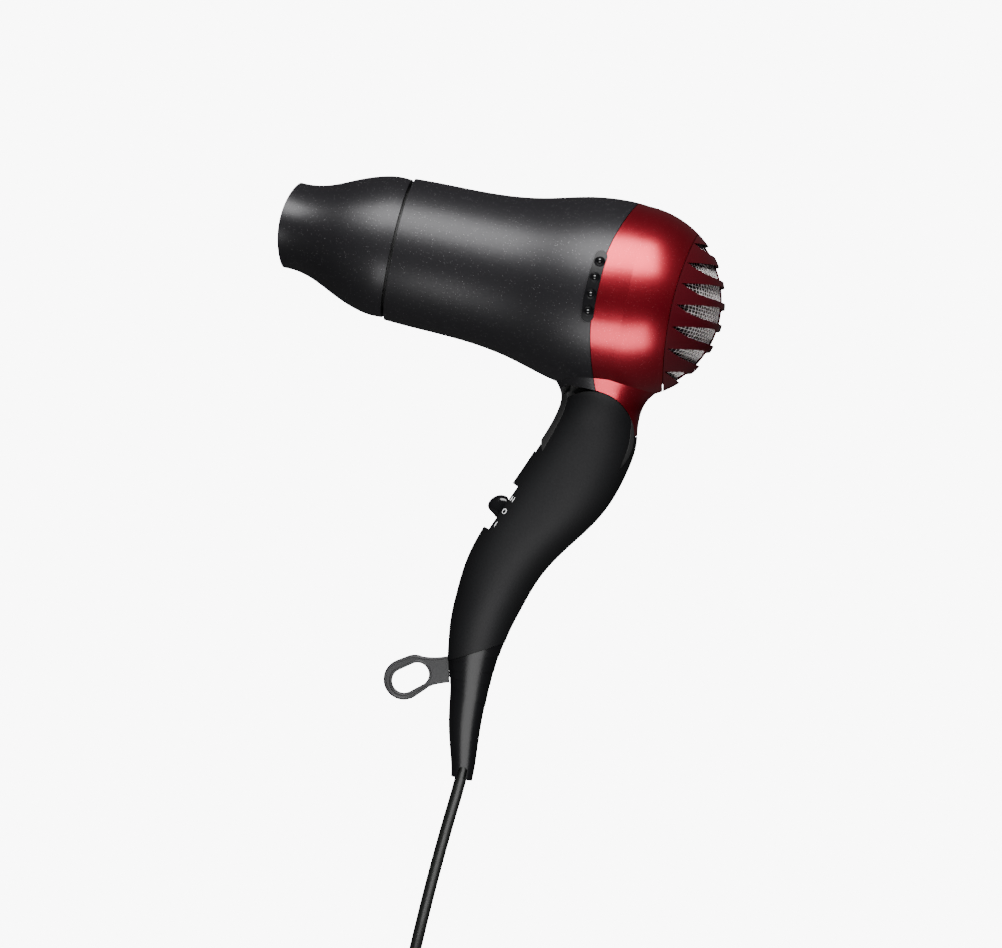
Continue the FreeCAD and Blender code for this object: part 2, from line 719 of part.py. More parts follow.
relief = Part.makeCone(3.6, 5.4, 13.0, Vector(plug_x, plug_y, plug_axis_z), Y_AXIS)
grip_wires = []
for y, half_x, half_z in ((13, 6.0, 5.4), (18, 12.0, 7.4), (30, 16.6, 8.4), (41, 17.6, 8.4)):
    ellipse = Part.Ellipse(Vector(plug_x, plug_y + y, plug_axis_z), half_x, half_z)
    shape = ellipse.toShape()
    shape.rotate(Vector(plug_x, plug_y + y, plug_axis_z), X_AXIS, 90)
    grip_wires.append(Part.Wire([shape]))
plug = relief.fuse(Part.makeLoft(grip_wires, True, False))
root_deep = 8.0


def pin_root(side):
    """The end of one plug pin that is moulded into the plug's body, and where it starts."""
    base = Vector(plug_x + side * size("plug_pin_gap") / 2, plug_y + 41 - root_deep, plug_axis_z)
    return solid_cylinder(size("plug_pin_radius") - 0.4, root_deep, base, Y_AXIS), base


def plug_pin(side):
    """One round pin with a domed tip."""
    root, base = pin_root(side)
    straight = size("plug_pin_length") - size("plug_pin_radius")
    face = base + Y_AXIS * root_deep
    shaft = solid_cylinder(size("plug_pin_radius"), straight, face, Y_AXIS)
    tip = Part.makeSphere(size("plug_pin_radius"), face + Y_AXIS * straight)
    return root.fuse([shaft, tip])


roots = pin_root(-1)[0].fuse(pin_root(1)[0])
feature("plug_body", biggest(plug.cut(roots)))
feature("plug_pins", Part.makeCompound([biggest(plug_pin(s)) for s in (-1, 1)]))

tie_at = coil_c + Vector(0, turn_r, ground)
tie = slab(-2.5, 2.5, -band - 0.9, band + 0.9, 0, size("coil_height") + 0.9)
tie = tie.cut(slab(-3, 3, -band - 0.05, band + 0.05, -1, size("coil_height") + 0.02))
tie.translate(tie_at)
tie = tie.cut(coil)
feature("coil_tie", biggest(tie))

# ---------------------------------------------------------------- nozzle
# Half height of the nozzle at stations along the axis, from the seam to past the mouth.
NOZZLE = [(-86.9, 31.7), (-92, 31.9), (-98, 31.0), (-104, 29.2), (-110, 26.8)]
NOZZLE += [(-116, 24.0), (-122, 21.5), (-129, 19.8), (-136, 19.6), (-144, 19.9)]


def nozzle_solid(inset_mm):
    """Level sections that go from round at the seam to a flattened oval at the mouth."""
    wires = []
    wide = size("mouth_half_width")
    first, last = NOZZLE[0][0], -129.0
    for x, height in NOZZLE:
        share = min(1.0, (first - x) / (first - last))
        ease = share * share * (3 - 2 * share)
        spread = height + (wide - size("mouth_half_height")) * ease
        ellipse = Part.Ellipse(Vector(0, 0, 0), spread - inset_mm + 0.001, height - inset_mm)
        wire = Part.Wire([ellipse.toShape()])
        wire.Placement = Placement(Vector(x, 0, AXIS_Z), Rotation(Y_AXIS, Z_AXIS, X_AXIS, "XYZ"))
        wires.append(wire)
    return Part.makeLoft(wires, True, False)


mouth_cut = arc_cylinder(size("mouth_x"), size("mouth_sagitta"), size("mouth_half_height"), 1)
nozzle = nozzle_solid(0).cut(nozzle_solid(size("nozzle_wall"))).common(mouth_cut)
# A thick ring at the nozzle's back holds the collar that turns on the outlet.
collar_start = -96.0
nozzle_back = solid_cylinder(31.0, size("collar_length") + 0.2, Vector(collar_start - 0.1, 0, AXIS_Z))
collar_seat = solid_cylinder(size("collar_radius") + slip, 12, Vector(collar_start - 1, 0, AXIS_Z))
nozzle_back = nozzle_back.cut(collar_seat).common(nozzle_solid(0.5))
feature("nozzle_shell", biggest(nozzle.fuse(nozzle_back)))
ring_body("nozzle_collar", "collar_radius", "collar_wall", "collar_length", collar_start)

# ---------------------------------------------------------------- outlet, heater and blower works
outlet_start = size("front_x") - size("outlet_reach")
ring_body("outlet_spigot", "spigot_radius", "outlet_wall", "outlet_length", outlet_start)
flange = solid_cylinder(size("front_radius") - wall - 0.05, 2.0, Vector(size("front_x") + 2.5, 0, AXIS_Z))
flange = flange.cut(solid_cylinder(size("outlet_radius"), 4, Vector(size("front_x") + 1.5, 0, AXIS_Z)))
feature("front_bulkhead", flange)


def outlet_grid():
    """A round grid of bars that keeps fingers off the heater."""
    x, reach = outlet_start + 1.0, size("outlet_radius") - size("outlet_wall") - 0.1
    rings = [reach, reach * 0.66, reach * 0.33]
    bar_deep = 1.4
    bars = None
    for r in rings:
        inner = solid_cylinder(r - 1.2, 3, Vector(x - 1, 0, AXIS_Z))
        hoop = solid_cylinder(r, bar_deep, Vector(x, 0, AXIS_Z)).cut(inner)
        bars = hoop if bars is None else bars.fuse(hoop)
    for k in range(8):
        spoke = slab(x, x + bar_deep, -0.6, 0.6, AXIS_Z, AXIS_Z + reach - 0.3)
        spoke.rotate(Vector(x, 0, AXIS_Z), X_AXIS, 45 * k)
        bars = bars.fuse(spoke)
    return bars


feature("outlet_grille", biggest(outlet_grid()))
heater_start = outlet_start + 6.0
heater_r = size("heater_radius") - 1.6
heater_end, mica_half = heater_start + size("heater_length"), size("mica_thick") / 2
cross_plate = slab(heater_start, heater_end, -mica_half, mica_half, AXIS_Z - heater_r, AXIS_Z + heater_r)
other_plate = cross_plate.copy()
other_plate.rotate(Vector(heater_start, 0, AXIS_Z), X_AXIS, 90)
ROUND_COILS = [heater_start + 5 + k * size("coil_pitch") for k in range(int(size("coil_rings")))]


def heating_rings(radius, wire):
    return [Part.makeTorus(radius, wire, Vector(x, 0, AXIS_Z), X_AXIS) for x in ROUND_COILS]


mica = cross_plate.fuse(other_plate)
for groove in heating_rings(heater_r - 3.0, size("coil_wire") + 0.1):
    mica = mica.cut(groove)
feature("mica_cross", biggest(mica))
feature("heating_coils", Part.makeCompound(heating_rings(heater_r - 3.0, size("coil_wire"))))
ring_body("mica_tube", "heater_radius", "mica_tube_wall", "heater_length", size("front_x") + 6.0)
# The thermostat sits in one corner of the crossed plates.
cell = size("thermostat_radius") + size("mica_thick") / 2 + 0.02
corner = Vector(size("thermostat_x"), cell, AXIS_Z + cell)
feature("thermostat", solid_cylinder(size("thermostat_radius"), 3.0, corner))

fan_x = 12.0
motor_x = -22.0
ring_body("fan_duct", "duct_radius", "duct_wall", "duct_length", -6.0)
motor = cylinder("motor_can_round", "motor_radius", "motor_length", Vector(motor_x, 0, AXIS_Z), X_AXIS)
motor_bore = solid_cylinder(size("shaft_radius") + 0.05, 60, Vector(motor_x - 10, 0, AXIS_Z))
bore_tool = doc.addObject("Part::Feature", "motor_bore")
bore_tool.Shape = motor_bore
motor_cut = doc.addObject("Part::Cut", "motor_can")
motor_cut.Base, motor_cut.Tool = motor, bore_tool
keep(motor_cut, "motor_can")


def motor_cradle():
    """A sleeve round the motor on six vanes that reach the duct."""
    r = size("motor_radius") + 0.1
    room = solid_cylinder(r, 20, Vector(motor_x + 5, 0, AXIS_Z))
    sleeve = solid_cylinder(r + 1.2, 18, Vector(motor_x + 6, 0, AXIS_Z)).cut(room)
    reach = size("duct_radius") - size("duct_wall") - 0.02
    for k in range(6):
        vane = slab(motor_x + 17, motor_x + 24, -0.7, 0.7, AXIS_Z + r + 0.5, AXIS_Z + reach)
        vane.rotate(Vector(0, 0, AXIS_Z), X_AXIS, 60 * k + 30)
        sleeve = sleeve.fuse(vane)
    return sleeve


feature("motor_cradle", biggest(motor_cradle()))
shaft_base = Vector(motor_x - 2, 0, AXIS_Z)
keep(cylinder("motor_shaft", "shaft_radius", "shaft_length", shaft_base, X_AXIS), "motor_shaft")


def impeller():
    """A hub with pitched blades inside the duct's ring."""
    depth = size("fan_depth")
    hub = solid_cylinder(size("fan_hub_radius"), depth, Vector(fan_x, 0, AXIS_Z))
    for k in range(int(size("fan_blades"))):
        blade = slab(-0.5, 0.5, -depth * 0.62, depth * 0.62, 0, size("fan_radius") - 1)
        blade.rotate(Vector(0, 0, 0), Z_AXIS, 52)
        blade.translate(Vector(fan_x + depth / 2, 0, AXIS_Z))
        blade.rotate(Vector(0, 0, AXIS_Z), X_AXIS, 360.0 / size("fan_blades") * k)
        hub = hub.fuse(blade)
    room = solid_cylinder(size("fan_radius"), depth, Vector(fan_x, 0, AXIS_Z))
    hub = hub.common(room)
    return hub.cut(solid_cylinder(size("shaft_radius"), 60, Vector(fan_x - 10, 0, AXIS_Z)))


feature("fan_impeller", biggest(impeller()))
duct_seat = head_solid(wall + 0.05).common(slab(-6.0, -4.0, -60, 60, 60, 180))
duct_seat = duct_seat.cut(solid_cylinder(size("duct_radius") + 0.05, 10, Vector(-9, 0, AXIS_Z)))
feature("duct_seat", biggest(duct_seat))

# ---------------------------------------------------------------- rear grille cap
cap = head_solid(0).cut(head_solid(size("grille_wall"))).common(rim)
tip_x = size("slot_tip_x")
# One slot seen from the side: a leaf from its point, along +X and up.
LEAF = [(0, 0), (9, 2.2), (17.5, 4.0), (34, 6.2)]
LEAF += [(34, -1.2), (17.5, -3.0), (12.5, -3.1), (8, -2.6), (3.5, -1.4)]
count = int(size("slot_count"))
for k in range(count):
    offset = (k - (count - 1) / 2) * size("slot_pitch")
    tip = tip_x + 0.0016 * offset**2
    z = AXIS_Z + 0.9 + offset
    wedge = prism([(tip + u, z + v) for u, v in LEAF], -60, 60)
    cap = cap.cut(wedge)
ball_centre = Vector(size("ball_x"), 0, AXIS_Z)
spine = Part.makeSphere(size("spine_radius"), ball_centre)
spine = spine.cut(Part.makeSphere(ball - size("grille_wall"), ball_centre))
spine_half = size("spine_half")
spine = spine.common(slab(size("ball_x") + 22, 90, -spine_half, spine_half, 60, 180)).common(rim)
feature("rear_grille", biggest(cap.fuse(spine)))
mesh_r = size("mesh_radius")
mesh = Part.makeSphere(mesh_r, ball_centre).cut(Part.makeSphere(mesh_r - size("mesh_wall"), ball_centre))
mesh = mesh.common(arc_cylinder(size("rim_x") + 1.2, size("rim_sagitta"), rim_half, 1))
feature("filter_mesh", biggest(mesh))
ring_body("filter_frame", "frame_radius", "frame_wall", "frame_length", 41.0)

# ---------------------------------------------------------------- checks and export
doc.recompute()
os.makedirs("parts", exist_ok=True)
bad = [o.Name for o in doc.Objects if {"Invalid", "Error"} & set(o.State)]
for label, obj in PARTS.items():
    shape = obj.Shape
    if shape.isNull() or not shape.isValid() or shape.Volume <= 0:
        bad.append(label)
if bad:
    raise RuntimeError(f"these objects failed: {bad}")
for old in os.listdir("parts"):
    os.remove(os.path.join("parts", old))
for label, obj in PARTS.items():
    obj.Shape.exportStep(f"parts/{label}.step")
print(len(PARTS), "sub-parts written")
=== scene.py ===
# %% [markdown]
# # A folding hair dryer
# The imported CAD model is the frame: every piece already has its true size and place in metres.
# The lesson adds what CAD is poor at: a smooth hanging cord, woven wire, printed marks, finishes and light.

# %% Load the frame
import json
import math

import bmesh
import bpy
from mathutils import Matrix, Vector
from mathutils.bvhtree import BVHTree


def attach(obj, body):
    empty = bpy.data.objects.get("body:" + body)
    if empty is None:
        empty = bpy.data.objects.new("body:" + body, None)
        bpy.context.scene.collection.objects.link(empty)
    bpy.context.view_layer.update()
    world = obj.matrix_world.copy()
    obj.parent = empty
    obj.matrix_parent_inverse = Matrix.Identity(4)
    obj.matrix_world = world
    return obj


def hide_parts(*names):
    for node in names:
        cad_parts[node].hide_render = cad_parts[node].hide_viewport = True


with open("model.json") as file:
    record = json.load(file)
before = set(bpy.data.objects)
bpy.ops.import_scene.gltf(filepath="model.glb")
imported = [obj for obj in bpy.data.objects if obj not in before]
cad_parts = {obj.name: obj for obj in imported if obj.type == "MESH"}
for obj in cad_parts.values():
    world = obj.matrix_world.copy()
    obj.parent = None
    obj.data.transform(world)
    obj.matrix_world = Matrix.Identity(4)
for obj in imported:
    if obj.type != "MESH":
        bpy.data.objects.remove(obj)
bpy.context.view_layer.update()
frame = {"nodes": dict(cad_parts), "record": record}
NODES = frame["nodes"]
MM = 0.001

# %% [markdown]
# ## The camera
# A dryer is shown from its side, so that the barrel and the grip are both seen whole.
# The camera is level with the grip and rolled a little, which tips the mouth upwards.
# A long lens keeps the far side of the barrel from shrinking.

# %% Camera
LENS, SENSOR, FIELD = 120.0, 36.0, 0.451
DISTANCE = FIELD * LENS / SENSOR
AZIMUTH, ROLL = math.radians(2.8), math.radians(12.9)
AIM = Vector((-0.0185, 0.0, 0.0314))
back = Vector((math.sin(AZIMUTH), -math.cos(AZIMUTH), 0.0))
level_right = Vector((math.cos(AZIMUTH), math.sin(AZIMUTH), 0.0))
up = (Vector((0, 0, 1)) * math.cos(ROLL) - level_right * math.sin(ROLL)).normalized()
right = up.cross(back).normalized()


def studio(a, b, c):
    """A point given as metres to the right of, above and in front of the aim, as the camera sees it."""
    return AIM + right * a + up * b + back * c


def look(place, target):
    """The matrix of a camera or light at place that points at target."""
    z = (place - target).normalized()
    x = up.cross(z).normalized()
    y = z.cross(x)
    return Matrix.Translation(place) @ Matrix((x, y, z)).transposed().to_4x4()


lens = bpy.data.cameras.new("camera")
lens.lens, lens.sensor_width, lens.clip_start = LENS, SENSOR, 0.05
camera = bpy.data.objects.new("camera", lens)
bpy.context.collection.objects.link(camera)
turned = Matrix((right, up, back)).transposed().to_4x4()
camera.matrix_world = Matrix.Translation(AIM + back * DISTANCE) @ turned
bpy.context.scene.camera = camera
print("camera", round(DISTANCE, 3), "m away")

# %% [markdown]
# ## The mains cord
# A dryer has about 1.8 m of round two-core flex, 5.5 mm thick. It leaves the guard, hangs straight down
# and is wound into a neat coil with the plug on top. One NURBS spline carries all of it: the hanging run,
# the turns of the coil, which a loop works out, and the tail up to the plug. A tube made from short
# straight pieces would show its joints, and a NURBS line has none.

# %% Route of the cord
CORD_MM, COIL_TALL = 2.75, 17.0
CORD = CORD_MM * MM
GROUND = -226.0
COIL_X, COIL_Y = 33.5, 32.0
REST = GROUND + CORD_MM
TOP = GROUND + COIL_TALL + CORD_MM + 0.1
PLUG_X, PLUG_Y, PLUG_Z = COIL_X - 24.0, COIL_Y - 2.0, GROUND + COIL_TALL + 8.6


def around(degrees, radius, z):
    """A point round the coil's own axis, in millimetres."""
    a = math.radians(degrees)
    return (COIL_X + radius * math.cos(a), COIL_Y + radius * math.sin(a), z)


hanging = [
    (-5.4, 0, -95.9),
    (-5.6, 0, -110),
    (-6.6, 0.2, -124),
    (-7.7, 0.4, -146),
    (-8.3, -1.2, -172),
    (-8.4, -1.0, -198),
    (-8.2, 4.6, -214),
    (-8.0, 16.5, REST + 0.4),
    (-8.0, 33.0, REST),
]
tail = [
    around(34, 24.0, TOP),
    around(2, 25.0, TOP + 0.1),
    around(-34, 25.6, TOP),
    around(-72, 25.6, TOP),
    around(-110, 25.6, TOP + 0.8),
    around(-146, 25.4, TOP + 3.2),
    (PLUG_X, COIL_Y - 10.5, PLUG_Z - 0.4),
    (PLUG_X, PLUG_Y, PLUG_Z),
]
# Each turn has its radius and its layer: inwards on the floor, outwards above it, inwards on top.
OUTER, MIDDLE, INNER = 35.6, 30.2, 24.8
PLACES = [(OUTER, 0), (MIDDLE, 0), (INNER, 0)]
PLACES += [(INNER, 1), (MIDDLE, 1), (OUTER, 1)]
PLACES += [(OUTER, 2), (MIDDLE, 2), (INNER, 2)]
PER_TURN, TURNS, LAYER = 16, 8.24, 5.5
START_ANGLE, CHANGE = 150, 0.3
coil = []
for k in range(1, int(PER_TURN * TURNS)):
    turn = k / PER_TURN
    now, after = PLACES[int(turn)], PLACES[min(int(turn) + 1, len(PLACES) - 1)]
    share = max(0.0, (turn % 1 - (1 - CHANGE)) / CHANGE)
    share = share * share * (3 - 2 * share)
    radius = now[0] + (after[0] - now[0]) * share
    level = now[1] + (after[1] - now[1]) * share
    coil.append(around(START_ANGLE - 360 * (turn - 1 / PER_TURN), radius, REST + LAYER * level))
route = hanging + coil + tail
line = bpy.data.curves.new("mains_cord", "CURVE")
line.dimensions = "3D"
# The section's size is carried by each point's radius, so that the curve's box is the cord's own.
line.bevel_depth, line.bevel_resolution, line.resolution_u = 1.0, 5, 6
line.use_fill_caps = True
spline = line.splines.new("NURBS")
spline.points.add(len(route) - 1)
for point, (x, y, z) in zip(spline.points, route):
    point.co = (x * MM, y * MM, z * MM, 1.0)
    point.radius = CORD
spline.order_u = 3
spline.use_endpoint_u = True
cord = bpy.data.objects.new("mains_cord", line)
bpy.context.collection.objects.link(cord)
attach(cord, "handle")
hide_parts("cord_lead", "cord_coil", "cord_tail")
print("cord points", len(route))

# %% [markdown]
# ## The studio
# Two soft boxes light the dryer: a strong one above and in front, a weaker one below and in front.
# Each leaves one soft band along the barrel and one round patch on the red ball. The floor and the room
# are white to the eye but give little light back, so that the dark lacquer keeps its depth.


# %% Soft boxes
def soft_box(name, place, target, wide, tall, power):
    """A rectangular lamp at place that points at target and isn't seen itself."""
    lamp = bpy.data.lights.new(name, "AREA")
    lamp.shape, lamp.size, lamp.size_y, lamp.energy = "RECTANGLE", wide, tall, power
    box = bpy.data.objects.new(name, lamp)
    bpy.context.collection.objects.link(box)
    box.matrix_world = look(place, target)
    box.visible_camera = False
    return box


soft_box("upper_box", studio(0.08, 0.62, 0.48), studio(0.0, 0.10, 0), 0.70, 0.52, 19.0)
soft_box("lower_box", studio(0.03, -0.17, 0.25), studio(0.04, 0.10, 0), 0.30, 0.17, 1.5)

# %% Floor and room
WHITE = 9.0


def pale_stage_material():
    """White to the camera and dark grey to the light, so that it throws little back."""
    mat = bpy.data.materials.new("pale_stage")
    mat.use_nodes = True
    tree = mat.node_tree
    tree.nodes.clear()
    out = tree.nodes.new("ShaderNodeOutputMaterial")
    mix = tree.nodes.new("ShaderNodeMixShader")
    seen = tree.nodes.new("ShaderNodeEmission")
    lit = tree.nodes.new("ShaderNodeBsdfDiffuse")
    path = tree.nodes.new("ShaderNodeLightPath")
    seen.inputs["Color"].default_value = (1, 1, 1, 1)
    seen.inputs["Strength"].default_value = WHITE
    lit.inputs["Color"].default_value = (0.10, 0.10, 0.10, 1)
    tree.links.new(path.outputs["Is Camera Ray"], mix.inputs["Fac"])
    tree.links.new(lit.outputs["BSDF"], mix.inputs[1])
    tree.links.new(seen.outputs["Emission"], mix.inputs[2])
    tree.links.new(mix.outputs["Shader"], out.inputs["Surface"])
    return mat


half = 6.0
ground = bpy.data.meshes.new("floor")
z = (GROUND - 0.2) * MM
corners = [(-half, -half, z), (half, -half, z), (half, half, z), (-half, half, z)]
ground.from_pydata(corners, [], [(0, 1, 2, 3)])
floor = bpy.data.objects.new("floor", ground)
floor.data.materials.append(pale_stage_material())
bpy.context.collection.objects.link(floor)

room = bpy.data.worlds.new("room")
room.use_nodes = True
bpy.context.scene.world = room
nodes, links = room.node_tree.nodes, room.node_tree.links
sky = nodes["Background"]
path = nodes.new("ShaderNodeLightPath")
shade = nodes.new("ShaderNodeMix")
shade.data_type = "RGBA"
shade.inputs["A"].default_value = (0.05, 0.05, 0.052, 1)
shade.inputs["B"].default_value = (WHITE, WHITE, WHITE, 1)
links.new(path.outputs["Is Camera Ray"], shade.inputs["Factor"])
links.new(shade.outputs["Result"], sky.inputs["Color"])
print("floor at", round(z, 4))

# %% [markdown]
# ## Shared surface effects
# Two effects serve many finishes, so each is a shader node group that is built once. `metal_flakes` is the
# sparse glitter in a metallic lacquer: small cells, of which a random few are picked. `moulded_grain` is
# the faint texture of moulded or coated plastic, and it also makes the gloss a little uneven, as hands do.


# %% Helpers for shader groups
def shader_group(name, inputs, outputs):
    """An empty group with these float sockets; returns it with its input and output nodes."""
    group = bpy.data.node_groups.new(name, "ShaderNodeTree")
    for label, value in inputs:
        socket = group.interface.new_socket(name=label, in_out="INPUT", socket_type="NodeSocketFloat")
        socket.default_value = value
    for label in outputs:
        group.interface.new_socket(name=label, in_out="OUTPUT", socket_type="NodeSocketFloat")
    start = group.nodes.new("NodeGroupInput")
    end = group.nodes.new("NodeGroupOutput")
    return group, start, end


def math_node(tree, operation, first, second=None):
    """A Math node whose inputs are numbers or sockets; returns its output socket."""
    node = tree.nodes.new("ShaderNodeMath")
    node.operation = operation
    for socket, value in zip(node.inputs, (first, second)):
        if value is None:
            continue
        if isinstance(value, (int, float)):
            socket.default_value = value
        else:
            tree.links.new(value, socket)
    return node.outputs[0]


# %% Metal flakes
flakes, start, end = shader_group("metal_flakes", [("Scale", 1400.0), ("Share", 0.05)], ["Mask"])
place = flakes.nodes.new("ShaderNodeTexCoord")
cells = flakes.nodes.new("ShaderNodeTexVoronoi")
flakes.links.new(place.outputs["Object"], cells.inputs["Vector"])
flakes.links.new(start.outputs["Scale"], cells.inputs["Scale"])
pick = flakes.nodes.new("ShaderNodeSeparateColor")
flakes.links.new(cells.outputs["Color"], pick.inputs["Color"])
chosen = math_node(flakes, "LESS_THAN", pick.outputs["Red"], start.outputs["Share"])
centre = math_node(flakes, "LESS_THAN", cells.outputs["Distance"], 0.42)
# A flake is the middle of a chosen cell, and each shines by its own amount.
bright = math_node(flakes, "MULTIPLY", chosen, math_node(flakes, "MULTIPLY", centre, pick.outputs["Green"]))
flakes.links.new(bright, end.inputs["Mask"])
print(flakes.name, "built")

# %% Moulded grain
grain, start, end = shader_group(
    "moulded_grain", [("Scale", 900.0), ("Roughness", 0.5), ("Unevenness", 0.08)], ["Roughness", "Height"]
)
place = grain.nodes.new("ShaderNodeTexCoord")
fine = grain.nodes.new("ShaderNodeTexNoise")
broad = grain.nodes.new("ShaderNodeTexNoise")
for noise in (fine, broad):
    grain.links.new(place.outputs["Object"], noise.inputs["Vector"])
grain.links.new(start.outputs["Scale"], fine.inputs["Scale"])
fine.inputs["Detail"].default_value = 3.0
broad.inputs["Scale"].default_value = 28.0
broad.inputs["Detail"].default_value = 4.0
centred = math_node(grain, "SUBTRACT", broad.outputs["Fac"], 0.5)
sway = math_node(grain, "MULTIPLY", centred, start.outputs["Unevenness"])
grain.links.new(math_node(grain, "ADD", start.outputs["Roughness"], sway), end.inputs["Roughness"])
grain.links.new(fine.outputs["Fac"], end.inputs["Height"])
print(grain.name, "built")

# %% [markdown]
# ## Finishes
# Every finish is a Principled shader of its own. The grain group drives its roughness and bump, and the
# two lacquers take flakes as well. Numbers that are the same all over are set on the shader directly.


# %% A finish from its values
def finish(name, colour, roughness, uneven=0.08, scale=900.0, bump=0.02, flake=None, **sockets):
    """A material with grain, and with flakes where flake gives (scale, share, colour)."""
    mat = bpy.data.materials.new(name)
    mat.use_nodes = True
    tree = mat.node_tree
    shader = tree.nodes["Principled BSDF"]
    shader.inputs["Base Color"].default_value = (*colour, 1)
    for socket, value in sockets.items():
        shader.inputs[socket.replace("_", " ")].default_value = value
    surface = tree.nodes.new("ShaderNodeGroup")
    surface.node_tree = grain
    surface.inputs["Scale"].default_value = scale
    surface.inputs["Roughness"].default_value = roughness
    surface.inputs["Unevenness"].default_value = uneven
    relief = tree.nodes.new("ShaderNodeBump")
    relief.inputs["Strength"].default_value = bump
    relief.inputs["Distance"].default_value = 0.001
    tree.links.new(surface.outputs["Roughness"], shader.inputs["Roughness"])
    if flake:
        glitter = tree.nodes.new("ShaderNodeGroup")
        glitter.node_tree = flakes
        glitter.inputs["Scale"].default_value = flake[0]
        glitter.inputs["Share"].default_value = flake[1]
        paint = tree.nodes.new("ShaderNodeMix")
        paint.data_type = "RGBA"
        paint.inputs["A"].default_value = (*colour, 1)
        paint.inputs["B"].default_value = (*flake[2], 1)
        tree.links.new(glitter.outputs["Mask"], paint.inputs["Factor"])
        tree.links.new(paint.outputs["Result"], shader.inputs["Base Color"])
    tree.links.new(surface.outputs["Height"], relief.inputs["Height"])
    tree.links.new(relief.outputs["Normal"], shader.inputs["Normal"])
    return mat


# %% The finishes of this dryer
GREY_FLECK, PINK_FLECK = (0.16, 0.16, 0.165), (0.60, 0.10, 0.12)
FINISH = {
    "metallic_black": finish(
        "black_metallic_lacquer",
        (0.0095, 0.009, 0.0105),
        0.40,
        0.05,
        flake=(3600, 0.035, GREY_FLECK),
        Metallic=0.3,
        Specular_IOR_Level=0.38,
    ),
    "metallic_red": finish(
        "red_metallic_lacquer",
        (0.26, 0.006, 0.016),
        0.30,
        0.04,
        flake=(4200, 0.05, PINK_FLECK),
        Metallic=0.9,
        Coat_Weight=0.30,
        Coat_Roughness=0.25,
    ),
    "dark_red": finish(
        "maroon_gloss_lacquer", (0.055, 0.003, 0.006), 0.22, 0.04, Metallic=0.3, Coat_Weight=0.2
    ),
    "soft_black": finish(
        "soft_touch_coating", (0.0032, 0.0032, 0.0037), 0.60, 0.10, 1600.0, 0.03, Specular_IOR_Level=0.18
    ),
    "guard_black": finish(
        "satin_black_plastic", (0.0035, 0.0035, 0.004), 0.32, 0.08, 700.0, 0.02, Specular_IOR_Level=0.2
    ),
    "loop_black": finish(
        "matt_black_plastic", (0.006, 0.006, 0.0068), 0.45, 0.10, 800.0, 0.01, Specular_IOR_Level=0.35
    ),
    # The knuckle's grey, lighter than the other blacks, is painted sheen that stands for light on its front.
    "knuckle_black": finish("black_plastic_with_painted_sheen", (0.022, 0.022, 0.022), 0.34, 0.12, 600.0, 0.04),
    "gloss_black": finish("gloss_black_plastic", (0.004, 0.004, 0.0045), 0.14, 0.04, 500.0, 0.004),
    "satin_strip": finish(
        "satin_strip_plastic", (0.003, 0.003, 0.0035), 0.34, 0.06, 700.0, 0.01, Specular_IOR_Level=0.16
    ),
    "white_print": finish("white_print", (0.75, 0.75, 0.76), 0.45, 0.05, 900.0, 0.01),
    "inner_black": finish("heatproof_black_plastic", (0.010, 0.010, 0.010), 0.55, 0.10, 500.0, 0.05),
    "cord_black": finish(
        "cord_sheath", (0.005, 0.0055, 0.005), 0.40, 0.10, 400.0, 0.02, Specular_IOR_Level=0.3
    ),
    "plug_black": finish("moulded_plug", (0.014, 0.014, 0.015), 0.42, 0.10, 500.0, 0.05),
    "tie_white": finish("white_tie", (0.75, 0.75, 0.72), 0.40, 0.10, 500.0, 0.03),
    "nickel": finish("nickel_plate", (0.66, 0.63, 0.58), 0.22, 0.12, 700.0, 0.02, Metallic=1.0),
    "steel": finish("zinc_plated_steel", (0.55, 0.55, 0.56), 0.32, 0.15, 600.0, 0.03, Metallic=1.0),
    "brass": finish("plain_brass", (0.72, 0.52, 0.22), 0.30, 0.12, 600.0, 0.03, Metallic=1.0),
    "mica": finish("pressed_mica", (0.48, 0.41, 0.30), 0.55, 0.15, 350.0, 0.08),
    "heater_wire": finish("resistance_wire", (0.42, 0.38, 0.35), 0.40, 0.15, 500.0, 0.04, Metallic=1.0),
    "woven_wire": finish("bright_woven_wire", (0.92, 0.88, 0.87), 0.45, 0.12, 900.0, 0.02, Metallic=0.3),
}
slot_of = {entry["node"]: entry["material_slot"] for entry in frame["record"]["subparts"]}
# filter_mesh takes the dark inner finish as painted shade: a dark sheet for the shaded inside seen through
# the woven wire.
slot_of.update(strip_left="satin_strip", strip_right="satin_strip", filter_mesh="inner_black")
for name, node in NODES.items():
    node.data.materials.clear()
    node.data.materials.append(FINISH[slot_of[name]])
cord.data.materials.append(FINISH["cord_black"])
print(len(FINISH), "finishes on", len(NODES), "CAD pieces")
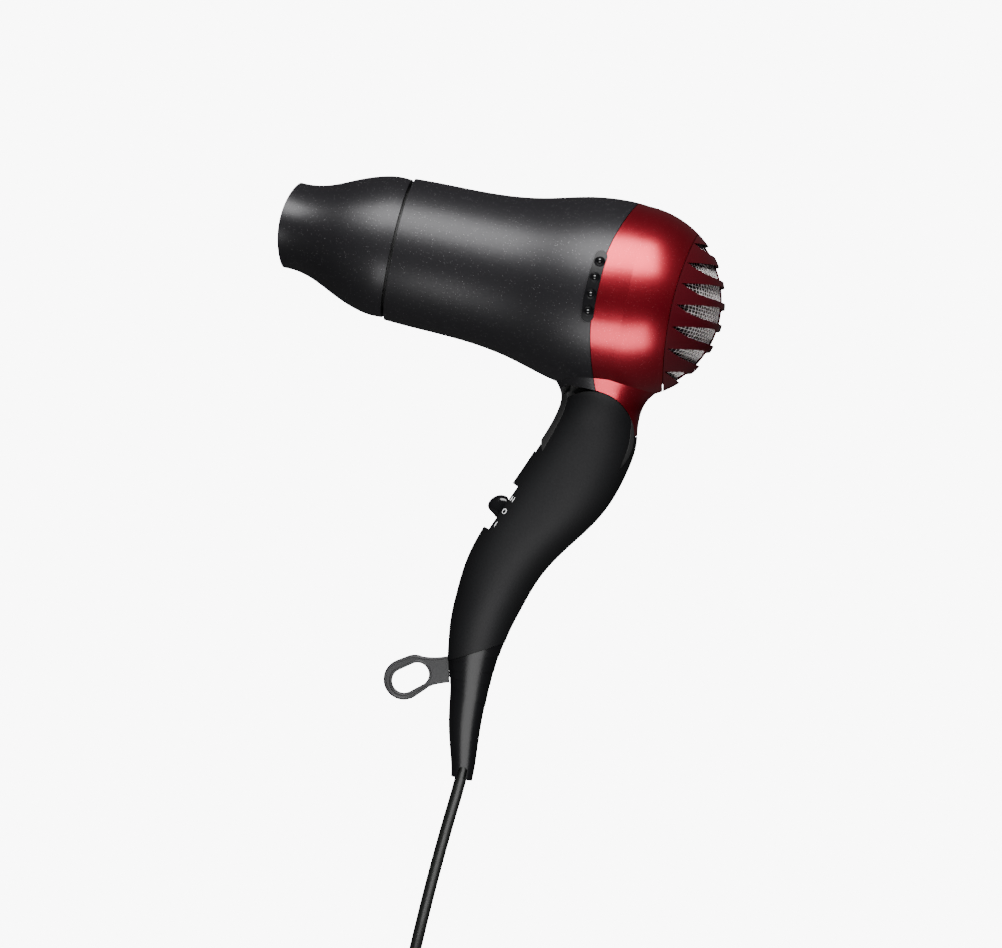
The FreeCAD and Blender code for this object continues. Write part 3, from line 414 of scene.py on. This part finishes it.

# %% [markdown]
# ## Woven wire behind the grille
# A wire cloth keeps hair out of the fan. It is woven from thin wires that pass over and under each other,
# Two sets of wires follow one rule, so Geometry Nodes make them: copies of one
# line are spread a pitch apart, lifted onto a sphere, waved up and down, cut off along the grille's curved
# rim, and given a round section. The CAD mesh stays behind the wires as a dark sheet of painted shade, which
# stands for the shaded inside of the dryer.


# %% Wire tree
def wire_cloth_tree():
    """Two crossing sets of waved wires on a dome, in metres."""
    tree = bpy.data.node_groups.new("wire_cloth", "GeometryNodeTree")
    tree.interface.new_socket(name="Geometry", in_out="OUTPUT", socket_type="NodeSocketGeometry")
    values = {"Pitch": 0.0015, "Ball": 0.0411, "Rim": 0.0365, "Edge": 0.0213, "Bow": 3.28}
    values.update(Wire=0.00016, Wave=0.0002)
    for label, value in values.items():
        socket = tree.interface.new_socket(name=label, in_out="INPUT", socket_type="NodeSocketFloat")
        socket.default_value = value
    tree.interface.new_socket(name="Finish", in_out="INPUT", socket_type="NodeSocketMaterial")
    new, link = tree.nodes.new, tree.links.new
    given, out = new("NodeGroupInput"), new("NodeGroupOutput")

    def calc(operation, *values):
        """A Math node whose inputs are numbers or sockets; returns its output socket."""
        node = new("ShaderNodeMath")
        node.operation = operation
        for socket, value in zip(node.inputs, values):
            if isinstance(value, (int, float)):
                socket.default_value = value
            else:
                link(value, socket)
        return node.outputs[0]

    pitch, ball, rim = given.outputs["Pitch"], given.outputs["Ball"], given.outputs["Rim"]
    low, high = new("ShaderNodeCombineXYZ"), new("ShaderNodeCombineXYZ")
    link(calc("MULTIPLY", rim, -1.0), low.inputs["Y"])
    link(rim, high.inputs["Y"])
    strand = new("GeometryNodeCurvePrimitiveLine")
    link(low.outputs[0], strand.inputs["Start"])
    link(high.outputs[0], strand.inputs["End"])
    beads = new("GeometryNodeResampleCurve")
    link(strand.outputs["Curve"], beads.inputs["Curve"])
    link(calc("ADD", calc("DIVIDE", calc("MULTIPLY", rim, 4.0), pitch), 1.0), beads.inputs["Count"])
    copies = new("GeometryNodeDuplicateElements")
    copies.domain = "SPLINE"
    amount = calc("FLOOR", calc("DIVIDE", calc("MULTIPLY", rim, 2.0), pitch))
    link(beads.outputs["Curve"], copies.inputs["Geometry"])
    link(amount, copies.inputs["Amount"])
    number = copies.outputs["Duplicate Index"]
    middle_number = calc("DIVIDE", calc("SUBTRACT", amount, 1.0), 2.0)
    across = calc("MULTIPLY", calc("SUBTRACT", number, middle_number), pitch)
    here = new("GeometryNodeInputPosition")
    parts = new("ShaderNodeSeparateXYZ")
    link(here.outputs[0], parts.inputs[0])
    along = parts.outputs["Y"]
    spread = calc("ADD", calc("MULTIPLY", across, across), calc("MULTIPLY", along, along))
    dome = calc("SQRT", calc("MAXIMUM", calc("SUBTRACT", calc("MULTIPLY", ball, ball), spread), 0.0))
    # Neighbours wave in turn, so each wire goes over the next one that crosses it.
    half_turns = calc("MULTIPLY", calc("DIVIDE", along, pitch), math.pi)
    phase = calc("ADD", half_turns, calc("MULTIPLY", number, math.pi))
    wave = calc("MULTIPLY", calc("SINE", phase), given.outputs["Wave"])
    results = []
    for sign in (1.0, -1.0):
        spot = new("ShaderNodeCombineXYZ")
        link(across, spot.inputs["X"])
        link(along, spot.inputs["Y"])
        link(calc("ADD", dome, calc("MULTIPLY", wave, sign)), spot.inputs["Z"])
        moved = new("GeometryNodeSetPosition")
        link(copies.outputs["Geometry"], moved.inputs["Geometry"])
        link(spot.outputs[0], moved.inputs["Position"])
        trimmed = new("GeometryNodeDeleteGeometry")
        trimmed.domain = "POINT"
        reach = new("ShaderNodeSeparateXYZ")
        spot_now = new("GeometryNodeInputPosition")
        link(spot_now.outputs[0], reach.inputs[0])
        level = reach.outputs["X" if sign > 0 else "Y"]
        bow = calc("MULTIPLY", calc("MULTIPLY", level, level), given.outputs["Bow"])
        edge = calc("ADD", given.outputs["Edge"], bow)
        link(moved.outputs["Geometry"], trimmed.inputs["Geometry"])
        link(calc("LESS_THAN", reach.outputs["Z"], edge), trimmed.inputs["Selection"])
        section = new("GeometryNodeCurvePrimitiveCircle")
        section.inputs["Resolution"].default_value = 5
        link(given.outputs["Wire"], section.inputs["Radius"])
        round_wire = new("GeometryNodeCurveToMesh")
        round_wire.inputs["Fill Caps"].default_value = True
        link(trimmed.outputs["Geometry"], round_wire.inputs["Curve"])
        link(section.outputs["Curve"], round_wire.inputs["Profile Curve"])
        turn = new("GeometryNodeTransform")
        turn.inputs["Rotation"].default_value = (0.0, 0.0, math.pi / 2 if sign < 0 else 0.0)
        link(round_wire.outputs["Mesh"], turn.inputs["Geometry"])
        results.append(turn.outputs["Geometry"])
    join = new("GeometryNodeJoinGeometry")
    for result in results:
        link(result, join.inputs["Geometry"])
    face = new("GeometryNodeTransform")
    face.inputs["Rotation"].default_value = (0.0, math.pi / 2, 0.0)
    face.inputs["Translation"].default_value = (20 * MM, 0.0, 120 * MM)
    link(join.outputs["Geometry"], face.inputs["Geometry"])
    real, paint = new("GeometryNodeRealizeInstances"), new("GeometryNodeSetMaterial")
    link(face.outputs["Geometry"], real.inputs["Geometry"])
    link(real.outputs["Geometry"], paint.inputs["Geometry"])
    link(given.outputs["Finish"], paint.inputs["Material"])
    link(paint.outputs["Geometry"], out.inputs["Geometry"])
    return tree


# %% Turn a tree into a plain piece
def grown(name, tree, values):
    """Runs a Geometry Nodes tree with these named inputs, and returns its result as a plain mesh object."""
    host = bpy.data.objects.new(name + "_host", bpy.data.meshes.new(name + "_host"))
    bpy.context.collection.objects.link(host)
    modifier = host.modifiers.new("nodes", "NODES")
    modifier.node_group = tree
    sockets = {s.name: s.identifier for s in tree.interface.items_tree if s.in_out == "INPUT"}
    for label, value in values.items():
        modifier[sockets[label]] = value
    graph = bpy.context.evaluated_depsgraph_get()
    mesh = bpy.data.meshes.new_from_object(host.evaluated_get(graph))
    bpy.data.objects.remove(host)
    mesh.name = name
    piece = bpy.data.objects.new(name, mesh)
    bpy.context.collection.objects.link(piece)
    return piece


cloth = grown("wire_cloth", wire_cloth_tree(), {"Finish": FINISH["woven_wire"]})
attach(cloth, "grille")
print("wire cloth", len(cloth.data.polygons), "faces")

# %% [markdown]
# ## The thumb of the slide switch
# The switch is pushed by a small glossy thumb piece that leans towards the cord, with a soft crown and a
# hollow underneath. Its side view is a short list of points; the same outline shrinks towards both ends, and
# a subdivision surface rounds the whole. It stands in for the plainer CAD knob, whose stem is out of sight.


# %% The switch's own directions
FLAT = Vector((-9.6, 0.0, 27.5))
LEAN = math.radians(21.5)
OUT = Vector((-math.cos(LEAN), 0.0, math.sin(LEAN)))
DOWN = Vector((-math.sin(LEAN), 0.0, -math.cos(LEAN)))
ACROSS = Vector((0.0, 1.0, 0.0))


def on_flat(out, down, across):
    """A point in metres from millimetres out of, down and across the switch's flat."""
    return (FLAT + OUT * out + DOWN * down + ACROSS * across) * MM


def piece_from(name, verts, faces, mat):
    """A mesh object at the origin with its faces turned outwards."""
    mesh = bpy.data.meshes.new(name)
    mesh.from_pydata([tuple(v) for v in verts], [], faces)
    work = bmesh.new()
    work.from_mesh(mesh)
    bmesh.ops.remove_doubles(work, verts=work.verts, dist=1e-7)
    bmesh.ops.recalc_face_normals(work, faces=work.faces)
    work.to_mesh(mesh)
    work.free()
    mesh.materials.append(mat)
    for face in mesh.polygons:
        face.use_smooth = True
    piece = bpy.data.objects.new(name, mesh)
    bpy.context.collection.objects.link(piece)
    return piece


# %% Thumb piece
# The side view as (out, down) points, from the top of the foot round to its lower end.
SIDE = [(-0.4, 6.4), (2.4, 6.3), (5.0, 7.4), (6.8, 10.0), (7.4, 12.9)]
SIDE += [(6.6, 15.2), (4.8, 16.0), (2.8, 16.2), (1.0, 16.9), (-0.4, 17.3)]
FOOT, MIDDLE_DOWN = -0.4, 12.0
HALF, RINGS = 4.5, 8
LAST_TURN, BLUNTNESS, NARROW = math.pi / 2 * 0.94, 0.55, 0.35
verts, faces = [], []
for ring in range(-RINGS, RINGS + 1):
    turn = ring / RINGS * LAST_TURN
    shrink = math.cos(turn) ** BLUNTNESS
    long_share = NARROW + (1 - NARROW) * shrink
    for out, down in SIDE:
        drawn_out = FOOT + (out - FOOT) * shrink
        drawn_down = MIDDLE_DOWN + (down - MIDDLE_DOWN) * long_share
        verts.append(on_flat(drawn_out, drawn_down, HALF * math.sin(turn)))
n = len(SIDE)
for ring in range(2 * RINGS):
    for k in range(n):
        a, b = ring * n + k, ring * n + (k + 1) % n
        faces.append((a, b, b + n, a + n))
faces += [tuple(range(n)), tuple(range(2 * RINGS * n, (2 * RINGS + 1) * n))]
thumb = piece_from("switch_thumb", verts, faces, FINISH["gloss_black"])
smooth = thumb.modifiers.new("smooth", "SUBSURF")
smooth.levels = smooth.render_levels = 2
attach(thumb, "knob")
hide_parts("switch_knob")
print("thumb", len(faces), "faces before smoothing")

# %% [markdown]
# ## Printed marks beside the switch
# Pad printing leaves a thin film of ink on the curved handle: two bars, a ring and one bar. Each stroke is a
# strip of small quads whose corners are dropped onto the handle's own surface and given a film's thickness.

# %% Ink strokes
shell = NODES["handle_left"].data
spots = [v.co.copy() for v in shell.vertices]
skin = BVHTree.FromPolygons(spots, [tuple(p.vertices) for p in shell.polygons])
ALONG, ASIDE = -DOWN, Vector((math.cos(LEAN), 0.0, -math.sin(LEAN)))


def dropped(x, z, lift):
    """The handle's left surface at this height and depth, raised by lift."""
    hit, normal = skin.ray_cast(Vector((x * MM, -0.08, z * MM)), Vector((0, 1, 0)))[:2]
    return hit + normal.normalized() * lift * MM


def ink(name, strokes, width=0.28, film=0.05):
    """Strokes are lists of (x, z) in mm; each becomes a closed flat ribbon on the handle."""
    verts, faces = [], []
    for stroke in strokes:
        first = len(verts)
        for k, (x, z) in enumerate(stroke):
            before, after = stroke[max(k - 1, 0)], stroke[min(k + 1, len(stroke) - 1)]
            if stroke[0] == stroke[-1] and k in (0, len(stroke) - 1):
                before, after = stroke[-2], stroke[1]
            run = Vector((after[0] - before[0], after[1] - before[1])).normalized()
            for side, lift in ((-1, 0.0), (1, 0.0), (1, film), (-1, film)):
                verts.append(dropped(x - run.y * side * width / 2, z + run.x * side * width / 2, lift))
        count = len(stroke)
        for k in range(count - 1):
            a = first + 4 * k
            faces += [(a + j, a + (j + 1) % 4, a + 4 + (j + 1) % 4, a + 4 + j) for j in range(4)]
        if stroke[0] != stroke[-1]:
            last = first + 4 * (count - 1)
            faces += [tuple(end + j for j in range(4)) for end in (first, last)]
    piece = piece_from(name, verts, faces, FINISH["white_print"])
    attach(piece, "handle")
    return piece


def bar(x, z, shift, long):
    """A straight stroke along the slide's way."""
    spot = Vector((x, 0, z)) + ASIDE * shift
    ends = [spot + ALONG * (long * t) for t in (-0.5, -0.25, 0.0, 0.25, 0.5)]
    return [(p.x, p.z) for p in ends]


def oval(x, z, wide, tall, sides=20):
    """A closed ring stroke, tall along the slide's way."""
    loop = []
    for k in range(sides):
        turn = 2 * math.pi * k / sides
        aside, along = wide / 2 * math.cos(turn), tall / 2 * math.sin(turn)
        spot = Vector((x, 0, z)) + ASIDE * aside + ALONG * along
        loop.append((spot.x, spot.z))
    return loop + loop[:1]


ink("mark_high", [bar(-10.4, 21.6, -0.5, 2.3), bar(-10.4, 21.6, 0.5, 2.3)])
ink("mark_off", [oval(-12.8, 15.5, 1.6, 2.3)])
ink("mark_low", [bar(-15.3, 9.0, 0.0, 2.4)])
print("ink marks laid")

# %% [markdown]
# ## Rolled rim of the hanging loop
# The loop is a flat moulding whose edges are rolled into a bead, which keeps it from cutting into a hook.
# The bead is a round tube along the outer outline and round the hole, on both faces. Curves with a bevel are
# the shortest way to it, and they are turned into plain meshes.


# %% Rim beads
BEAD, BEAD_INSET, FACE = 0.6, 0.75, 1.65
OUTER_ROUNDS = [(-40.4, -68.4, 9.2), (-36.4, -65.0, 8.6)]
HOLE_ROUNDS = [(-40.4, -69.2, 5.4), (-35.0, -64.8, 5.2)]


def round_point(circles, degrees, grow):
    """The outline round two circles (x, z, radius), moved out by grow, in this direction."""
    way = (math.cos(math.radians(degrees)), math.sin(math.radians(degrees)))
    x, z, r = max(circles, key=lambda c: c[0] * way[0] + c[1] * way[1] + c[2])
    return (x + (r + grow) * way[0], z + (r + grow) * way[1])


outline = [(-22.3, -53.9), (-25.5, -55.3), (-29.3, -56.6), (-33.2, -57.2)]
outline += [round_point(OUTER_ROUNDS, a, -BEAD_INSET) for a in range(100, 316, 9)]
outline += [(-31.0, -70.4), (-28.2, -68.0), (-25.2, -66.4), (-21.5, -65.0)]
hole = [round_point(HOLE_ROUNDS, a, BEAD_INSET) for a in range(0, 360, 9)]
beads = bpy.data.curves.new("loop_rim", "CURVE")
beads.dimensions = "3D"
beads.bevel_depth, beads.bevel_resolution = BEAD * MM, 3
beads.resolution_u, beads.use_fill_caps = 3, True
for face_y in (-FACE, FACE):
    for points, closed in ((outline, False), (hole, True)):
        bead = beads.splines.new("NURBS")
        bead.points.add(len(points) - 1)
        for spot, (x, z) in zip(bead.points, points):
            spot.co = (x * MM, face_y * MM, z * MM, 1.0)
        bead.order_u, bead.use_cyclic_u, bead.use_endpoint_u = 3, closed, not closed
host = bpy.data.objects.new("loop_rim_host", beads)
bpy.context.collection.objects.link(host)
mesh = bpy.data.meshes.new_from_object(host.evaluated_get(bpy.context.evaluated_depsgraph_get()))
bpy.data.objects.remove(host)
rim = bpy.data.objects.new("loop_rim", mesh)
bpy.context.collection.objects.link(rim)
mesh.materials.clear()
mesh.materials.append(FINISH["loop_black"])
for face in mesh.polygons:
    face.use_smooth = True
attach(rim, "handle")
print("rim", len(mesh.polygons), "faces")

# %% [markdown]
# ## Ribs on the plug's strain relief
# The sleeve behind a moulded plug has ribs so that the cord bends gently. They repeat along the cone, each a
# little larger than the last, so Geometry Nodes place circles on a line, scale them and round them.


# %% Rib tree
def rib_tree():
    """Hoops on a line along +Y, each larger than the last, in metres."""
    tree = bpy.data.node_groups.new("relief_ribs", "GeometryNodeTree")
    tree.interface.new_socket(name="Geometry", in_out="OUTPUT", socket_type="NodeSocketGeometry")
    count = tree.interface.new_socket(name="Ribs", in_out="INPUT", socket_type="NodeSocketInt")
    count.default_value = 5
    for label, value in (("Pitch", 0.002), ("First", 0.0040), ("Growth", 0.00028), ("Thick", 0.0005)):
        socket = tree.interface.new_socket(name=label, in_out="INPUT", socket_type="NodeSocketFloat")
        socket.default_value = value
    tree.interface.new_socket(name="Start", in_out="INPUT", socket_type="NodeSocketVector")
    tree.interface.new_socket(name="Finish", in_out="INPUT", socket_type="NodeSocketMaterial")
    new, link = tree.nodes.new, tree.links.new
    given, out = new("NodeGroupInput"), new("NodeGroupOutput")
    step = new("ShaderNodeCombineXYZ")
    link(given.outputs["Pitch"], step.inputs["Y"])
    row = new("GeometryNodeMeshLine")
    link(given.outputs["Ribs"], row.inputs["Count"])
    link(given.outputs["Start"], row.inputs["Start Location"])
    link(step.outputs[0], row.inputs["Offset"])
    number, grow, size = new("GeometryNodeInputIndex"), new("ShaderNodeMath"), new("ShaderNodeMath")
    grow.operation = "MULTIPLY"
    link(number.outputs[0], grow.inputs[0])
    link(given.outputs["Growth"], grow.inputs[1])
    link(grow.outputs[0], size.inputs[0])
    link(given.outputs["First"], size.inputs[1])
    hoop = new("GeometryNodeCurvePrimitiveCircle")
    hoop.inputs["Resolution"].default_value = 40
    hoop.inputs["Radius"].default_value = 1.0
    copies = new("GeometryNodeInstanceOnPoints")
    copies.inputs["Rotation"].default_value = (math.pi / 2, 0.0, 0.0)
    link(row.outputs["Mesh"], copies.inputs["Points"])
    link(hoop.outputs["Curve"], copies.inputs["Instance"])
    link(size.outputs[0], copies.inputs["Scale"])
    real = new("GeometryNodeRealizeInstances")
    link(copies.outputs["Instances"], real.inputs["Geometry"])
    section = new("GeometryNodeCurvePrimitiveCircle")
    section.inputs["Resolution"].default_value = 8
    link(given.outputs["Thick"], section.inputs["Radius"])
    ribs, paint = new("GeometryNodeCurveToMesh"), new("GeometryNodeSetMaterial")
    link(real.outputs["Geometry"], ribs.inputs["Curve"])
    link(section.outputs["Curve"], ribs.inputs["Profile Curve"])
    link(ribs.outputs["Mesh"], paint.inputs["Geometry"])
    link(given.outputs["Finish"], paint.inputs["Material"])
    link(paint.outputs["Geometry"], out.inputs["Geometry"])
    return tree


start = (PLUG_X * MM, (PLUG_Y + 2.0) * MM, PLUG_Z * MM)
ribs = grown("relief_ribs", rib_tree(), {"Ribs": 5, "Start": start, "Finish": FINISH["plug_black"]})
for face in ribs.data.polygons:
    face.use_smooth = True
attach(ribs, "handle")
print("ribs", len(ribs.data.polygons), "faces")
